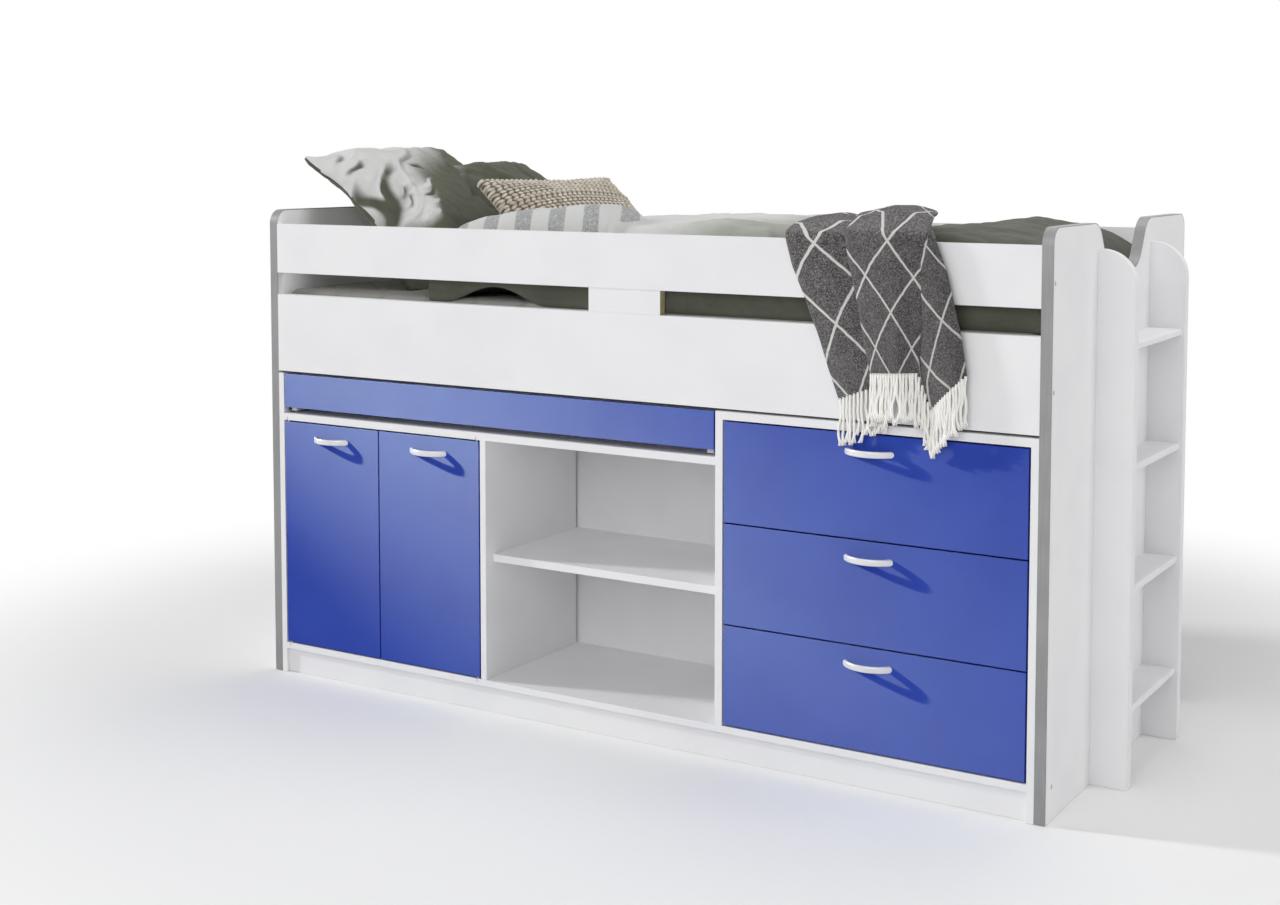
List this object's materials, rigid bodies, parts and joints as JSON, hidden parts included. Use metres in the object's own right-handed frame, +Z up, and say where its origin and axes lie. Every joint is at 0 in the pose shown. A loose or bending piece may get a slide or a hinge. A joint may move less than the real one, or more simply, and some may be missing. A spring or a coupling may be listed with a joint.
{
  "type": "loft bed",
  "caption": "Mid-height loft bed with guard rails and an end ladder, over a cupboard, an open shelf bay, a pull-out desk and a chest of drawers, made up with bedding.",
  "frame": {"origin": "middle of the footprint, on the floor", "axes": "+X along the bed towards the ladder, +Y to the wall side away from the doors and drawers, +Z up"},
  "size_m": [2.138, 0.978, 1.3359],
  "materials": {
    "white_board": "white melamine, satin",
    "blue_front": "royal blue melamine, semi-gloss",
    "grey_edge": "silver grey, satin",
    "pine": "planed, raw",
    "zinc_steel": "zinc plated",
    "white_steel": "white powder coat",
    "satin_handle": "light satin",
    "bush_plastic": "moulded",
    "mattress_ticking": "woven",
    "sage_linen": "washed linen",
    "oatmeal_knit": "chunky knit",
    "grey_wool": "woven wool"
  },
  "bodies": {
    "bed": {"headboard_panel": "white_board", "footboard_panel": "white_board", "front_top_rail": "white_board", "front_lower_rail": "white_board", "rail_spacer_block": "white_board", "rear_top_rail": "white_board", "rear_lower_rail": "white_board", "ladder_front_upright": "white_board", "ladder_rear_upright": "white_board", "ladder_steps": "white_board", "cabinet_left_side": "white_board", "cupboard_divider": "white_board", "cabinet_top": "white_board", "cabinet_base": "white_board", "plinth_boards": "white_board", "drawer_cabinet_left_side": "white_board", "drawer_cabinet_right_side": "white_board", "drawer_cabinet_top": "white_board", "cabinet_back": "white_board", "drawer_cabinet_back": "white_board", "open_shelf": "white_board", "headboard_edge_band": "grey_edge", "footboard_edge_band": "grey_edge", "slat_cleats": "pine", "bed_slats": "pine", "rail_bolts": "zinc_steel", "door_pivot_bushes": "bush_plastic", "desk_fixed_runners": "white_steel", "drawer_fixed_runners": "white_steel", "mattress": "mattress_ticking", "duvet": "sage_linen", "front_pillow": "sage_linen", "rear_pillow": "sage_linen", "knitted_cushion": "oatmeal_knit", "throw": "grey_wool"},
    "left_door": {"left_door_panel": "blue_front", "left_door_handle": "satin_handle", "left_door_pins": "zinc_steel"},
    "right_door": {"right_door_panel": "blue_front", "right_door_handle": "satin_handle", "right_door_pins": "zinc_steel"},
    "top_drawer": {"top_drawer_front": "blue_front", "top_drawer_handle": "satin_handle", "top_drawer_box": "white_board", "top_drawer_bottom": "white_board", "top_drawer_runners": "white_steel"},
    "middle_drawer": {"middle_drawer_front": "blue_front", "middle_drawer_handle": "satin_handle", "middle_drawer_box": "white_board", "middle_drawer_bottom": "white_board", "middle_drawer_runners": "white_steel"},
    "bottom_drawer": {"bottom_drawer_front": "blue_front", "bottom_drawer_handle": "satin_handle", "bottom_drawer_box": "white_board", "bottom_drawer_bottom": "white_board", "bottom_drawer_runners": "white_steel"},
    "desk": {"desk_board": "white_board", "desk_front_strip": "blue_front", "desk_side_rails": "white_board", "desk_moving_runners": "white_steel"}
  },
  "joints": [
    {"name": "left_door_hinge", "type": "hinge", "parent": "bed", "child": "left_door", "pos_m": [-1.017, -0.456, 0.367], "axis": [0, 0, -1], "range_deg": [0, 95]},
    {"name": "right_door_hinge", "type": "hinge", "parent": "bed", "child": "right_door", "pos_m": [-0.418, -0.456, 0.367], "axis": [0, 0, 1], "range_deg": [0, 95]},
    {"name": "top_drawer_slide", "type": "slide", "parent": "bed", "child": "top_drawer", "axis": [0, -1, 0], "range_m": [0, 0.26]},
    {"name": "middle_drawer_slide", "type": "slide", "parent": "bed", "child": "middle_drawer", "axis": [0, -1, 0], "range_m": [0, 0.26]},
    {"name": "bottom_drawer_slide", "type": "slide", "parent": "bed", "child": "bottom_drawer", "axis": [0, -1, 0], "range_m": [0, 0.26]},
    {"name": "desk_slide", "type": "slide", "parent": "bed", "child": "desk", "axis": [0, -1, 0], "range_m": [0, 0.35]}
  ]
}
